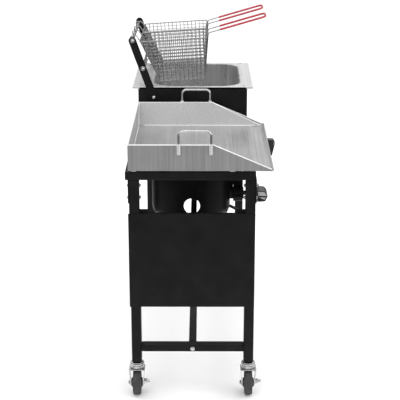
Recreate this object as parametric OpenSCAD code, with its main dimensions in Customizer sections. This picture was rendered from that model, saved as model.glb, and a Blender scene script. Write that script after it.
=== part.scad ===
// Outdoor gas cooking cart: a flat-top griddle and a two-basket deep fryer on one wheeled frame.
// Millimetres, +Z up, the operator stands at -Y, the griddle is at the -X end.

/* [Cart] */
// Length between the outer faces of the end legs
cart_length = 1153; // [1140:1:1180]
// Width between the outer faces of the front and back legs
cart_width = 400; // [396:1:410]
// Height of the top of the frame above the floor
frame_top = 767; // [760:1:775]
// Height of the leg bottoms above the floor
leg_bottom = 113; // [112:0.5:116]
// Leg tube width, across the cart
leg_width = 32; // [30:1:34]
// Leg tube depth, along the cart
leg_depth = 38; // [36:1:40]
// Height of the top rails
rail_height = 27; // [25:1:30]
// Depth of the top rails
rail_depth = 25; // [22:1:27]
// Height of the middle of the lower rails above the floor
lower_rail_z = 161.5; // [150:0.5:180]

/* [Casters] */
// Wheel diameter
wheel_diameter = 82; // [78:1:84]
// Width of the wheel tread
wheel_width = 26; // [22:1:28]
// Distance from the swivel axis to the wheel axle
caster_trail = 20; // [16:1:24]

/* [Griddle] */
// Length of the griddle pan along the cart
griddle_length = 609; // [600:1:612]
// Thickness of the griddle floor plate
griddle_plate = 5; // [4:0.5:6]
// Height of the griddle walls
griddle_wall = 83; // [75:1:90]

/* [Fryer] */
// Length of the fryer flange and cabinet along the cart
fryer_length = 473; // [465:1:480]
// Height of the fryer flange above the floor
flange_top = 905; // [895:1:910]
// Corner radius of the fryer tank
tank_radius = 75; // [60:1:85]
// Depth of the fryer tank
tank_depth = 157; // [140:1:160]

/* [Baskets] */
// Width of one basket along the cart
basket_width = 208; // [200:1:212]
// Length of the basket rim, front to back
basket_length = 243; // [235:1:248]
// Depth of the basket
basket_depth = 148; // [140:1:152]
// Upward tilt of a hanging basket towards the front
basket_tilt = 3.8; // [3:0.1:5]
// Rise of the basket handle above level
handle_rise = 16.1; // [14:0.1:18]

/* [Hidden] */

$fn = 48;
eps = 0.01;

// Place of the legs' outer near face and of the middle line in the part's own frame
reach_near = -leg_depth / 2 + caster_trail + wheel_diameter / 2;
reach_far = cart_length + 5;
near_x = (reach_near - reach_far) / 2;
reach_front = cart_width / 2 + 114;
reach_back = 233.75;
mid_y = (reach_front - reach_back) / 2;

// Frame
half = cart_width / 2;
leg_in = half - leg_width;
leg_top = frame_top - rail_height;
tube_wall = 2;
rail_over = 4;
back_over = 11;
lower_rail_h = 21;
lower_rail_low = lower_rail_z - lower_rail_h / 2;
sheet = 2;
plate = 3;
plate_low = 663;
tab_low = 520;
tab_width = 90;
panel_low = 311;
panel_high = 629;
frame_bolt_z = [677, 717];
black = [0.14, 0.14, 0.15];
steel = [0.78, 0.79, 0.8];
bright = [0.88, 0.88, 0.9];

// Stations along the cart, measured from the outer face of the near legs
griddle_x = 300;
fryer_x = 632;
fryer_knob_x = 890;
burner_axis_z = 606;
bracket_out = 60;
fryer_stem_z = burner_axis_z + 7;

// Griddle
pan_gap = 5;
pan_low = frame_top + pan_gap;
pan_x = -10;
pan_back = 201;
pan_sheet = 3;
pan_front = 252;
trough_start = 206;
lip_d = 7;
splash_foot = 42;

// Fryer
cabinet_front = 194;
cabinet_back = 202;
flange_front = 216;
flange_back = 223;
tank_front = 168;
tank_back = 145;
tank_x = fryer_x + 18;
tank_length = fryer_length - 32;

// Basket rack
arm_width = 27.5;
arm_thick = 4;
rack_low = [146, 867];
rack_mid = [183.7, 972];
rack_top = [220, 1073];
rod_d = 10;

// Baskets
rim_back = [195, 1064.5];
basket_gap = 14;
basket_near_x = fryer_x + (fryer_length - basket_width - basket_gap) / 2;
basket_far_x = basket_near_x + basket_width + basket_gap;
basket_back_in = 61;
basket_front_in = 17;
basket_skin = 3;
wire_d = 4;
grip_d = 6.5;
handle_gap = 88;
handle_corner = 18;
handle_root = 248.2;
bare_length = 44;
handle_length = 217;

// Casters
axle_z = wheel_diameter / 2;
axle_r = 4;
king_r = 6;
running = 0.05;
crown_z = 86;
fork_in = 20.5;
fork_out = 23;
brake_z = 46;
brake_y = 29.5;
rivet_out = 25;

// ---- helpers ----

module place() {
    translate([near_x, mid_y, 0]) children();
}

module box(low, high) {
    translate(low) cube(high - low);
}

// Straight rod between two points
module rod(a, b, d) {
    v = b - a;
    translate(a)
        rotate([0, acos(v[2] / norm(v)), atan2(v[1], v[0])])
            cylinder(d = d, h = norm(v));
}

// Cylinder along +Y from a point
module along_y(p, d, l) {
    translate(p) rotate([-90, 0, 0]) cylinder(d = d, h = l);
}

// Cylinder along +X from a point
module along_x(p, d, l) {
    translate(p) rotate([0, 90, 0]) cylinder(d = d, h = l);
}

module rounded_slab(low, high, r) {
    translate([0, 0, low[2]])
        linear_extrude(high[2] - low[2])
            union() {
                translate([low[0] + r, low[1]]) square([high[0] - low[0] - 2 * r, high[1] - low[1]]);
                translate([low[0], low[1] + r]) square([high[0] - low[0], high[1] - low[1] - 2 * r]);
                for (x = [low[0] + r, high[0] - r])
                    for (y = [low[1] + r, high[1] - r])
                        translate([x, y]) circle(r);
            }
}

// Hexagonal nut or bolt head along Y
module hex_y(p, across, l) {
    translate(p) rotate([-90, 0, 0]) cylinder(d = across / cos(30), h = l, $fn = 6);
}

// ---- frame ----

// side is -1 at the front and +1 at the back
module leg(x, side) {
    color(black) place() difference() {
        translate([x, min(side * leg_in, side * half), leg_bottom])
            cube([leg_depth, leg_width, leg_top - leg_bottom]);
        translate([x + tube_wall, min(side * leg_in, side * half) + tube_wall, leg_bottom + 5])
            cube([leg_depth - 2 * tube_wall, leg_width - 2 * tube_wall, leg_top - leg_bottom]);
        translate([x + leg_depth / 2, side * (leg_in + half) / 2, leg_bottom - 1])
            cylinder(r = king_r + 0.2, h = 7);
        for (z = frame_bolt_z)
            along_y([x + leg_depth / 2, -half - 1, z], 6.4, cart_width + 2);
    }
}

module leg_near_front() { leg(0, -1); }
module leg_near_back() { leg(0, 1); }
module leg_far_front() { leg(cart_length - leg_depth, -1); }
module leg_far_back() { leg(cart_length - leg_depth, 1); }

// Square-cornered tube along X or Y between two corners
module tube_x(low, high) {
    difference() {
        box(low, high);
        box(low + [-1, tube_wall, tube_wall], high - [-1, tube_wall, tube_wall]);
    }
}

module tube_y(low, high) {
    difference() {
        box(low, high);
        box(low + [tube_wall, -1, tube_wall], high - [tube_wall, -1, tube_wall]);
    }
}

rail_x0 = -rail_over + rail_depth;
rail_x1 = cart_length + rail_over - rail_depth;

module top_rail_front() {
    color(black) place()
        tube_x([rail_x0, -half, leg_top], [rail_x1, -half + rail_depth, frame_top]);
}

module top_rail_back() {
    color(black) place()
        tube_x([rail_x0, half + back_over - rail_depth, leg_top], [rail_x1, half + back_over, frame_top]);
}

module end_top_rail(x) {
    color(black) place() difference() {
        box([x, -half, leg_top], [x + rail_depth, half + back_over, frame_top]);
        box([x + tube_wall, -half + tube_wall, leg_top + tube_wall],
            [x + rail_depth - tube_wall, half + back_over - tube_wall, frame_top - tube_wall]);
    }
}

module top_rail_near() { end_top_rail(-rail_over); }
module top_rail_far() { end_top_rail(rail_x1); }

cross_bar_x = [572, 618, 1095];

module top_cross_bars() {
    color(black) place()
        for (x = cross_bar_x)
            tube_y([x, -half + rail_depth, leg_top],
                   [x + rail_depth, half + back_over - rail_depth, frame_top]);
}

// Lower end rail with the hole for the stretcher bolt
module lower_rail(x) {
    color(black) place() difference() {
        tube_y([x, -leg_in, lower_rail_low], [x + leg_depth, leg_in, lower_rail_low + lower_rail_h]);
        along_x([x - 1, 0, lower_rail_z], 8.4, leg_depth + 2);
    }
}

module lower_rail_near() { lower_rail(0); }
module lower_rail_far() { lower_rail(cart_length - leg_depth); }

module lower_stretcher() {
    color(black) place()
        tube_x([leg_depth, -12.5, lower_rail_low],
               [cart_length - leg_depth, 12.5, lower_rail_low + lower_rail_h]);
}

module stretcher_bolts() {
    color(bright) place()
        for (side = [0, 1])
            translate([side * cart_length, 0, lower_rail_z]) rotate([0, 0, side * 180]) {
                along_x([-5, 0, 0], 14, 5);
                along_x([-eps, 0, 0], 8, leg_depth + 16);
                translate([leg_depth + 8, 0, 0])
                    rotate([0, 90, 0]) cylinder(d = 15, h = 6, $fn = 6);
            }
}

// Sheet over the near end, folded in at the top and bottom
module end_panel() {
    color(black) place() union() {
        box([-sheet, -half, panel_low], [0, half + 3.5, panel_high]);
        for (z = [panel_low, panel_high - sheet])
            box([-eps, -leg_in, z], [12, leg_in, z + sheet]);
        for (y = [-leg_in, leg_in - 27])
            box([10, y, panel_high - sheet], [12, y + 27, panel_high + 12]);
    }
}

// Long side plate with a tab hanging down at each burner
module side_plate() {
    difference() {
        union() {
            box([0, 0, plate_low], [cart_length, plate, leg_top]);
            for (x = [griddle_x, fryer_knob_x])
                box([x - tab_width / 2, 0, tab_low], [x + tab_width / 2, plate, plate_low + 1]);
        }
        for (x = [leg_depth / 2, cart_length - leg_depth / 2])
            for (z = frame_bolt_z)
                along_y([x, -1, z], 6.4, plate + 2);
        along_y([griddle_x, -1, burner_axis_z], 18, plate + 2);
        along_y([fryer_knob_x, -1, burner_axis_z], 26, plate + 2);
    }
}

module control_panel() {
    color(black) place() translate([0, -half - plate, 0]) side_plate();
}

module back_panel() {
    color(black) place() translate([0, half, 0]) side_plate();
}

module frame_bolts() {
    color(bright) place()
        for (x = [leg_depth / 2, cart_length - leg_depth / 2])
            for (z = frame_bolt_z)
                for (side = [0, 1])
                    rotate([0, 0, side * 180])
                        translate([side * -2 * x + x, 0, z]) {
                            along_y([0, -half - plate - 4, 0], 12, 4);
                            along_y([0, -half - plate - eps, 0], 6, leg_width + plate + 9);
                            hex_y([0, -leg_in, 0], 10, 5);
                        }
}

// Open-sided bracket that carries the fryer knob in front of the control panel
module fryer_control_bracket() {
    low_z = fryer_stem_z - 39;
    high_z = fryer_stem_z + 39;
    color(black) place() difference() {
        box([fryer_knob_x - 40, -half - plate - bracket_out, low_z],
            [fryer_knob_x + 40, -half - plate, high_z]);
        box([fryer_knob_x - 38, -half - plate - bracket_out + 2, low_z + 2],
            [fryer_knob_x + 38, -half - plate + 1, high_z - 2]);
        along_y([fryer_knob_x, -half - plate - bracket_out - 1, fryer_stem_z], 18, 4);
    }
}

// ---- burners and gas ----

bowl_r = 133;
bowl_y = 7;
bowl_top = 736;
bowl_turn = 570;
bowl_curve = [44, 45];
bowl_curve_end = 60;
bowl_low = bowl_turn - bowl_curve[1] * sin(bowl_curve_end);
bowl_outer = [for (i = [0:5]) [bowl_r - bowl_curve[0] * (1 - cos(bowl_curve_end * i / 5)),
                               bowl_turn - bowl_curve[1] * sin(bowl_curve_end * i / 5)]];

// Open bowl round a burner; it curves in below and is pierced for the venturi, a sight hole and an air notch
module burner_bowl(x) {
    inner = [for (i = [5:-1:0]) bowl_outer[i] - [sheet, 0]];
    color(black) place() difference() {
        translate([x, bowl_y, 0])
            rotate_extrude($fn = 72)
                polygon(concat([[bowl_r, bowl_top]], bowl_outer, inner, [[bowl_r - sheet, bowl_top]]));
        along_x([x - bowl_r - 10, bowl_y - 4, 600], 54, bowl_r);
        along_x([x + 10, bowl_y - 4, 548], 68, bowl_r);
        along_y([x, -bowl_r - 10, burner_axis_z], 40.4, bowl_r);
    }
}

module griddle_burner_bowl() { burner_bowl(griddle_x); }
module fryer_burner_bowl() { burner_bowl(fryer_knob_x); }

venturi_end = 120;
neck_end = 172;

// Cast burner: drilled ring head, riser and venturi with its bell mouth
module burner(x) {
    color([0.22, 0.22, 0.23]) place() translate([x, 0, 0]) difference() {
        union() {
            translate([0, 0, 640]) cylinder(d1 = 60, d2 = 110, h = 22);
            translate([0, 0, 662]) cylinder(d = 110, h = 12);
            translate([0, 0, burner_axis_z]) cylinder(d = 44, h = 36);
            translate([0, 0, burner_axis_z]) sphere(d = 44);
            along_y([0, -venturi_end, burner_axis_z], 34, venturi_end);
            along_y([0, -neck_end, burner_axis_z], 40, neck_end - venturi_end);
        }
        translate([0, 0, burner_axis_z]) cylinder(d = 30, h = 52);
        translate([0, 0, 657]) cylinder(d = 90, h = 11);
        along_y([0, -neck_end - 1, burner_axis_z], 26, neck_end);
        for (a = [0:30:330])
            rotate([0, 0, a]) translate([40, 0, 660]) cylinder(d = 6, h = 20);
    }
}

module griddle_burner() { burner(griddle_x); }
module fryer_burner() { burner(fryer_knob_x); }

// Space inside the outer face of a bowl
module bowl_space(x) {
    translate([x, bowl_y, 0])
        rotate_extrude($fn = 72)
            polygon(concat([[0, bowl_top], [bowl_r, bowl_top]], bowl_outer, [[0, bowl_low]]));
}

drum_front = 169;
drum_back = 137;
arm_low = [-half, tab_low + 3];
arm_high = [bowl_y - bowl_r, 559];
bar_width = 20;

// Crossed flat bars under each bowl, a sloping arm at the front and a shield plate above the drum
module burner_brackets() {
    tilt = atan2(arm_high[1] - arm_low[1], arm_high[0] - arm_low[0]);
    color(black) place()
        for (x = [griddle_x, fryer_knob_x]) {
            difference() {
                translate([x - 12, arm_low[0], arm_low[1]]) rotate([tilt, 0, 0])
                    box([0, -20, -2], [24, norm(arm_high - arm_low) + 10, 2]);
                box([x - 20, -half - 30, tab_low - 20], [x + 20, -half, tab_low + 60]);
                bowl_space(x);
            }
            difference() {
                union() {
                    box([x - plate, -drum_front, 636], [x, bowl_y - bowl_r + 2, 678]);
                    box([x - plate, -drum_back + 1, 627], [x, bowl_y - bowl_r + 2, 640]);
                }
                bowl_space(x);
            }
            box([x - 180, -12, bowl_low - 4], [x + 180, -12 + bar_width, bowl_low]);
            box([x - bar_width / 2, -half, bowl_low - 4], [x + bar_width / 2, half, bowl_low]);
        }
}

// Round drum that closes the air inlet of the venturi
module air_shutter(x) {
    color(black) place() difference() {
        along_y([x, -drum_front, burner_axis_z], 56, drum_front - drum_back);
        along_y([x, -drum_front - 1, burner_axis_z], 40 + 2 * running, drum_front - drum_back + 2);
        for (a = [20, 140, 260])
            translate([x, -(drum_front + drum_back) / 2, burner_axis_z]) rotate([0, a, 0])
                translate([0, -8, 0]) cube([8, 16, 40]);
    }
}

module griddle_air_shutter() { air_shutter(griddle_x); }
module fryer_air_shutter() { air_shutter(fryer_knob_x); }

stem_d = 7;

// Gas valve with its nozzle in the venturi mouth and its stem through the panel
module valve(x, out, stem_z) {
    color([0.2, 0.2, 0.21]) place() translate([x, 0, 0]) union() {
        along_y([0, -192, burner_axis_z], 16, 26);
        along_y([0, -half - out, burner_axis_z], 24, half + out - 186);
        along_y([0, -half - plate - out - 30, stem_z], stem_d, out + 45);
        translate([0, -190, burner_axis_z]) cylinder(d = 12, h = 30);
    }
}

module griddle_valve() { valve(griddle_x, 0, burner_axis_z); }
module fryer_valve() { valve(fryer_knob_x, bracket_out - 3, fryer_stem_z); }

manifold_y = -190;
manifold_z = 690;
inlet_x = 610;

module gas_manifold() {
    color([0.3, 0.3, 0.31]) place() union() {
        along_x([griddle_x - 30, manifold_y, manifold_z], 16, fryer_knob_x - griddle_x + 60);
        for (x = [griddle_x, fryer_knob_x])
            translate([x, manifold_y, burner_axis_z + 30])
                cylinder(d = 12, h = manifold_z - burner_axis_z - 30);
        for (x = [griddle_x - 36, fryer_knob_x + 26])
            translate([x, manifold_y, manifold_z]) rotate([0, 90, 0]) cylinder(d = 20, h = 10, $fn = 6);
        translate([inlet_x, manifold_y, manifold_z - 14]) cylinder(d = 20, h = 14);
    }
}

inlet_r = 7.94;
inlet_length = 14;

// Male flare fitting that a gas hose screws onto
module gas_inlet() {
    color([0.78, 0.63, 0.3]) place() translate([inlet_x, manifold_y, manifold_z - 14]) difference() {
        union() {
            translate([0, 0, -8]) cylinder(d = 19 / cos(30), h = 8, $fn = 6);
            translate([0, 0, -8 - inlet_length]) cylinder(r = inlet_r, h = inlet_length + 1);
        }
        translate([0, 0, -9 - inlet_length]) cylinder(d = 7, h = 30);
    }
}

// ---- fryer ----

module fryer_cabinet() {
    low = frame_top;
    high = flange_top - sheet;
    color(black) place() difference() {
        box([fryer_x, -cabinet_front, low], [fryer_x + fryer_length, cabinet_back, high]);
        box([fryer_x + sheet, -cabinet_front + sheet, low - 1],
            [fryer_x + fryer_length - sheet, cabinet_back - sheet, high + 1]);
        along_x([fryer_x - 1, rack_low[0], rack_low[1]], 6.4, fryer_length + 2);
    }
}

module tank_slab(grow, low, high) {
    rounded_slab([tank_x - grow, -tank_front - grow, low],
                 [tank_x + tank_length + grow, tank_back + grow, high], tank_radius + grow);
}

module fryer_tank() {
    color(bright) place() difference() {
        union() {
            box([fryer_x, -flange_front, flange_top - sheet],
                [fryer_x + fryer_length, flange_back, flange_top]);
            for (y = [-flange_front, flange_back - sheet])
                box([fryer_x, y, flange_top - 7], [fryer_x + fryer_length, y + sheet, flange_top - eps]);
            tank_slab(sheet, flange_top - tank_depth, flange_top - eps);
        }
        tank_slab(0, flange_top - tank_depth + sheet, flange_top + 1);
        for (x = [fryer_x + 14, fryer_x + fryer_length - 14])
            for (y = [-flange_front + 32, flange_back - 32])
                translate([x, y, flange_top - 10]) cylinder(d = 5.4, h = 20);
    }
}

module tank_screws() {
    color(bright) place()
        for (x = [fryer_x + 14, fryer_x + fryer_length - 14])
            for (y = [-flange_front + 32, flange_back - 32])
                translate([x, y, flange_top]) {
                    cylinder(d = 11, h = 2.5);
                    translate([0, 0, -10]) cylinder(d = 5, h = 10 + eps);
                }
}

// Flat arm with round ends, leaning back, bolted to the side of the cabinet
module rack_arm(x) {
    lean = atan2(rack_top[0] - rack_low[0], rack_top[1] - rack_low[1]);
    long = norm(rack_top - rack_low);
    mid = norm(rack_mid - rack_low);
    color(black) place() translate([x, rack_low[0], rack_low[1]]) rotate([-lean, 0, 0]) difference() {
        union() {
            box([0, -arm_width / 2, 0], [arm_thick, arm_width / 2, long]);
            for (z = [0, long]) along_x([0, 0, z], arm_width, arm_thick);
        }
        along_x([-1, 0, 0], 6.4, arm_thick + 2);
        for (z = [mid, long]) along_x([-1, 0, z], 6.4, arm_thick + 2);
    }
}

rack_near_x = fryer_x - arm_thick;
rack_far_x = fryer_x + fryer_length;

module rack_arm_near() { rack_arm(rack_near_x); }
module rack_arm_far() { rack_arm(rack_far_x); }

module rack_rods() {
    color(bright) place()
        for (p = [rack_mid, rack_top])
            along_x([rack_near_x + arm_thick, p[0], p[1]], rod_d, fryer_length);
}

module rack_bolts() {
    color(bright) place()
        for (side = [0, 1])
            translate([side == 0 ? rack_near_x : rack_far_x + arm_thick, 0, 0]) mirror([side, 0, 0]) {
                for (p = [rack_mid, rack_top]) translate([0, p[0], p[1]]) {
                    along_x([-1.5, 0, 0], 17, 1.5);
                    along_x([-6, 0, 0], 11, 4.6);
                    along_x([-2, 0, 0], 6, arm_thick + 2);
                }
                translate([0, rack_low[0], rack_low[1]]) {
                    along_x([-4, 0, 0], 12, 4);
                    along_x([-1, 0, 0], 6, 14);
                    translate([arm_thick + sheet, 0, 0])
                        rotate([0, 90, 0]) cylinder(d = 11.5, h = 5, $fn = 6);
                }
            }
}

// ---- griddle ----

module pan_wall_profile() {
    low = pan_low;
    high = pan_low + griddle_wall;
    polygon([[pan_back, low], [pan_back, high], [-67, high], [-248, low + 5], [-248, low]]);
}

// YZ outline extruded along X from x0 to x1
module along_cart(x0, x1) {
    translate([x0, 0, 0]) rotate([90, 0, 90]) linear_extrude(x1 - x0) children();
}

// Pan with an open front, a trough and lip there, and a splash sheet that slopes up to the far wall
module griddle_pan() {
    floor_top = pan_low + griddle_plate + 3;
    low = floor_top - griddle_plate;
    x1 = pan_x + griddle_length;
    color(steel) place() union() {
        along_cart(pan_x, pan_x + pan_sheet) pan_wall_profile();
        along_cart(x1 - pan_sheet, x1) pan_wall_profile();
        box([pan_x, pan_back - pan_sheet, pan_low], [x1, pan_back, pan_low + griddle_wall]);
        along_cart(pan_x, x1)
            polygon([[pan_back, low], [pan_back, floor_top], [-trough_start, floor_top],
                     [-trough_start - 9, floor_top - 5], [-pan_front, floor_top - 5],
                     [-pan_front, low - 4], [-trough_start - 10, low - 4], [-trough_start, low]]);
        along_x([pan_x, -pan_front, floor_top - 3.5], lip_d, griddle_length);
        intersection() {
            translate([0, pan_back - 1, 0]) rotate([90, 0, 0]) linear_extrude(pan_back + pan_front)
                polygon([[x1 - splash_foot - 2, floor_top - 1], [x1 - splash_foot, floor_top - 1],
                         [x1 - 1, pan_low + griddle_wall], [x1 - pan_sheet, pan_low + griddle_wall]]);
            along_cart(x1 - splash_foot - 5, x1) pan_wall_profile();
        }
        for (x = [0, 575])
            for (y = [-135, 176])
                box([x, y, frame_top], [x + 18, y + 16, low + eps]);
    }
}

handle_y = [42, -59];
handle_top = 904;
stub_low = 826;
stub_high = 860;

// U-shaped rod handle with thicker stub tubes welded to the pan wall
module griddle_handle(x, side) {
    r = 16;
    top = handle_top - 4;
    translate([x + side * 6.1, 0, 0]) {
        for (y = handle_y) {
            translate([0, y, stub_low]) cylinder(d = 12, h = stub_high - stub_low);
            translate([0, y, stub_high - 1]) cylinder(d = 8, h = top - r - stub_high + 1);
        }
        along_y([0, handle_y[1] + r, top], 8, handle_y[0] - handle_y[1] - 2 * r);
        translate([0, handle_y[0] - r, top - r]) rotate([90, 0, 90])
            rotate_extrude(angle = 90) translate([r, 0]) circle(d = 8);
        translate([0, handle_y[1] + r, top - r]) rotate([90, 0, 90])
            rotate([0, 0, 90]) rotate_extrude(angle = 90) translate([r, 0]) circle(d = 8);
    }
}

module griddle_handles() {
    color(bright) place() {
        griddle_handle(pan_x, -1);
        griddle_handle(pan_x + griddle_length, 1);
    }
}

// ---- baskets ----

// Basket frame: origin at the middle of the back rim, +Y to the front (towards the operator)
module basket_frame(x) {
    place() translate([x, rim_back[0], rim_back[1]])
        rotate([0, 0, 180]) rotate([basket_tilt, 0, 0]) children();
}

module basket_outline(skin) {
    top = skin > 0 ? 3 : 1;
    polygon([[skin, top], [basket_length - skin, top],
             [basket_length - basket_front_in - skin, -basket_depth + skin],
             [basket_back_in + skin, -basket_depth + skin]]);
}

module basket_mesh(x) {
    color([0.75, 0.76, 0.78]) basket_frame(x) union() {
        difference() {
            translate([-basket_width / 2 + 2, 0, 0]) rotate([90, 0, 90])
                linear_extrude(basket_width - 4) basket_outline(0);
            translate([-basket_width / 2 + 2 + basket_skin, 0, 0]) rotate([90, 0, 90])
                linear_extrude(basket_width - 4 - 2 * basket_skin) basket_outline(basket_skin);
        }
        difference() {
            box([-basket_width / 2, -2, -4], [basket_width / 2, basket_length + 2, 2]);
            box([-basket_width / 2 + 5, 3, -5], [basket_width / 2 - 5, basket_length - 3, 3]);
        }
    }
}

module basket_near_mesh() { basket_mesh(basket_near_x); }
module basket_far_mesh() { basket_mesh(basket_far_x); }

hook_x = [-62, 62];
hook_top = 17.3;
hook_back = -34;
stop_z = -93;
stop_y = 12.7;
stop_end = 39.5;

// Hooks over the top rod, a stop against the lower rod and the bare end of the handle
module basket_wires(x) {
    rise = handle_rise - basket_tilt;
    end_y = handle_root + bare_length * cos(rise);
    end_z = 7 + bare_length * sin(rise);
    color([0.85, 0.86, 0.88]) basket_frame(x) {
        for (hx = hook_x) {
            rod([hx, -3.5, 0], [hx, -12, hook_top], 3.8);
            rod([hx, -12, hook_top], [hx, hook_back, hook_top], 3.8);
            rod([hx, hook_back, hook_top], [hx, hook_back, -6], 3.8);
            for (y = [-12, hook_back]) translate([hx, y, hook_top]) sphere(d = 4.4);
            along_y([hx, stop_y, stop_z], 3.6, stop_end - stop_y);
        }
        rod([hook_x[0] - 5, stop_y, stop_z], [hook_x[1] + 5, stop_y, stop_z], 5);
        for (wx = [-handle_gap / 2, handle_gap / 2]) {
            rod([wx, 228.8, -140], [wx, handle_root, 7], wire_d);
            translate([wx, handle_root, 7]) sphere(d = wire_d + 0.6);
            rod([wx, handle_root, 7], [wx, end_y, end_z], wire_d);
        }
        for (p = [[basket_length + 3.4, -2], [basket_length - 14.6, -138]])
            rod([-handle_gap / 2, p[0], p[1]], [handle_gap / 2, p[0], p[1]], 3.4);
    }
}

module basket_near_wires() { basket_wires(basket_near_x); }
module basket_far_wires() { basket_wires(basket_far_x); }

// Coated loop of the handle, from the end of the bare wires to the tip with its round corners
module basket_grip(x) {
    rise = handle_rise - basket_tilt;
    straight = handle_length - bare_length - handle_corner;
    corner_x = handle_gap / 2 - handle_corner;
    color([0.75, 0.16, 0.2]) basket_frame(x)
        translate([0, handle_root, 7]) rotate([rise, 0, 0]) translate([0, bare_length, 0]) {
            for (s = [-1, 1]) {
                along_y([s * handle_gap / 2, 0, 0], grip_d, straight);
                translate([s * corner_x, straight, 0]) rotate([0, 0, s > 0 ? 0 : 90])
                    rotate_extrude(angle = 90) translate([handle_corner, 0]) circle(d = grip_d);
            }
            along_x([-corner_x, straight + handle_corner, 0], grip_d, 2 * corner_x);
        }
}

module basket_near_grip() { basket_grip(basket_near_x); }
module basket_far_grip() { basket_grip(basket_far_x); }

// ---- knobs ----

bezel_thick = 4;
knob_length = 46;
griddle_knob_d = 66;
fryer_knob_d = 75;

// Skirt of a knob with its bar grip; the outline of the bar is drawn across the cart
module knob(x, face, z, knob_d, bar_from, bar_to) {
    color([0.08, 0.08, 0.09]) place() translate([x, face, z]) difference() {
        union() {
            along_y([0, -16, 0], knob_d, 15);
            along_cart(bar_from, bar_to) children();
        }
        along_y([0, -34, 0], stem_d + 2 * running, 40);
    }
}

griddle_face = -half - plate - bezel_thick;
fryer_face = -half - plate - bracket_out - bezel_thick;

// Thick bar grip along the cart with a blunt ridge below its middle
module griddle_knob() {
    reach = griddle_knob_d / 2 - 2;
    knob(griddle_x, griddle_face - 1, burner_axis_z, griddle_knob_d, -reach, reach)
        polygon([[-15, -24], [-15, 16], [-knob_length + 12, 15], [-knob_length + 4, 8],
                 [-knob_length, -4], [-knob_length + 8, -22]]);
}

// Upright pointer grip that stands out furthest near its top
module fryer_knob() {
    knob(fryer_knob_x, fryer_face - 1, fryer_stem_z, fryer_knob_d, -16, 16)
        polygon([[-15, -33], [-15, 33], [-knob_length + 6, 31], [-knob_length, 24],
                 [-knob_length, 12], [-knob_length + 10, -33]]);
}

module knob_bezels() {
    color(bright) place()
        for (p = [[griddle_x, griddle_face, burner_axis_z, 72],
                  [fryer_knob_x, fryer_face, fryer_stem_z, 79]])
            difference() {
                along_y([p[0], p[1], p[2]], p[3], bezel_thick);
                along_y([p[0], p[1] - 1, p[2]], 18, bezel_thick + 2);
            }
}

// ---- casters ----

module caster_place(x, side) {
    place() translate([x, side * (leg_in + half) / 2, 0]) children();
}

caster_near_x = leg_depth / 2;
caster_far_x = cart_length - leg_depth / 2;

module caster_stems() {
    color([0.7, 0.71, 0.73])
        for (x = [caster_near_x, caster_far_x])
            for (side = [-1, 1])
                caster_place(x, side) {
                    translate([0, 0, crown_z - 2.8]) cylinder(r = 9, h = 2.5);
                    translate([0, 0, crown_z - 1]) cylinder(r = king_r, h = 50);
                    translate([0, 0, 105.4]) cylinder(d = 42, h = 4);
                    translate([0, 0, 109]) cylinder(d = 20, h = leg_bottom - 109, $fn = 6);
                    translate([0, 0, leg_bottom + 5]) cylinder(d = 20, h = 7, $fn = 6);
                }
}

// Stamped fork: ball race, crown, two cheeks, axle bolt and the lugs of the brake lever
module caster_fork(x, side) {
    color([0.74, 0.75, 0.77]) caster_place(x, side) difference() {
        union() {
            translate([0, 0, 92]) cylinder(d = 48, h = 6);
            translate([0, 0, 98]) cylinder(d = 43, h = 2);
            translate([0, 0, 100]) cylinder(d = 47, h = 5);
            translate([0, 0, crown_z]) cylinder(r = fork_out, h = 6);
            box([-30, -fork_out, crown_z], [6, fork_out, crown_z + 3]);
            for (y = [-fork_out, fork_in]) translate([0, y, 0])
                rotate([90, 0, 0]) translate([0, 0, -(fork_out - fork_in)])
                    linear_extrude(fork_out - fork_in) union() {
                        polygon([[-30, crown_z + 3], [14, crown_z + 3], [12, crown_z - 6],
                                 [-caster_trail + 10, axle_z], [-caster_trail - 10, axle_z],
                                 [-32, crown_z - 10]]);
                        translate([-caster_trail, axle_z]) circle(10);
                    }
            along_y([-caster_trail, -rivet_out + eps, axle_z], 2 * axle_r, rivet_out + fork_out + 6);
            along_y([-caster_trail, -rivet_out, axle_z], 12, rivet_out - fork_out + eps);
            hex_y([-caster_trail, fork_out, axle_z], 12, 5);
            for (bx = [-caster_trail - 10, -caster_trail + 8])
                box([bx, -brake_y - 4, brake_z - 4], [bx + 2, -fork_out + eps, brake_z + 4]);
            along_x([-caster_trail - 10, -brake_y, brake_z], 4, 20);
        }
        translate([0, 0, crown_z - 1]) cylinder(r = king_r + running, h = 30);
    }
}

module caster_fork_near_front() { caster_fork(caster_near_x, -1); }
module caster_fork_near_back() { caster_fork(caster_near_x, 1); }
module caster_fork_far_front() { caster_fork(caster_far_x, -1); }
module caster_fork_far_back() { caster_fork(caster_far_x, 1); }

module caster_wheel(x, side) {
    r = wheel_diameter / 2;
    w = wheel_width / 2;
    color([0.2, 0.2, 0.21]) caster_place(x, side)
        translate([-caster_trail, 0, axle_z]) rotate([90, 0, 0])
            rotate_extrude($fn = 96)
                polygon([[axle_r + running, -18.5], [15.5, -18.5], [17, -w + 4], [30, -w + 4], [33, -w],
                         [r - 3, -w], [r, -w + 4], [r, w - 4], [r - 3, w], [33, w],
                         [30, w - 4], [17, w - 4], [15.5, 18.5], [axle_r + running, 18.5]]);
}

module caster_wheel_near_front() { caster_wheel(caster_near_x, -1); }
module caster_wheel_near_back() { caster_wheel(caster_near_x, 1); }
module caster_wheel_far_front() { caster_wheel(caster_far_x, -1); }
module caster_wheel_far_back() { caster_wheel(caster_far_x, 1); }

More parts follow.
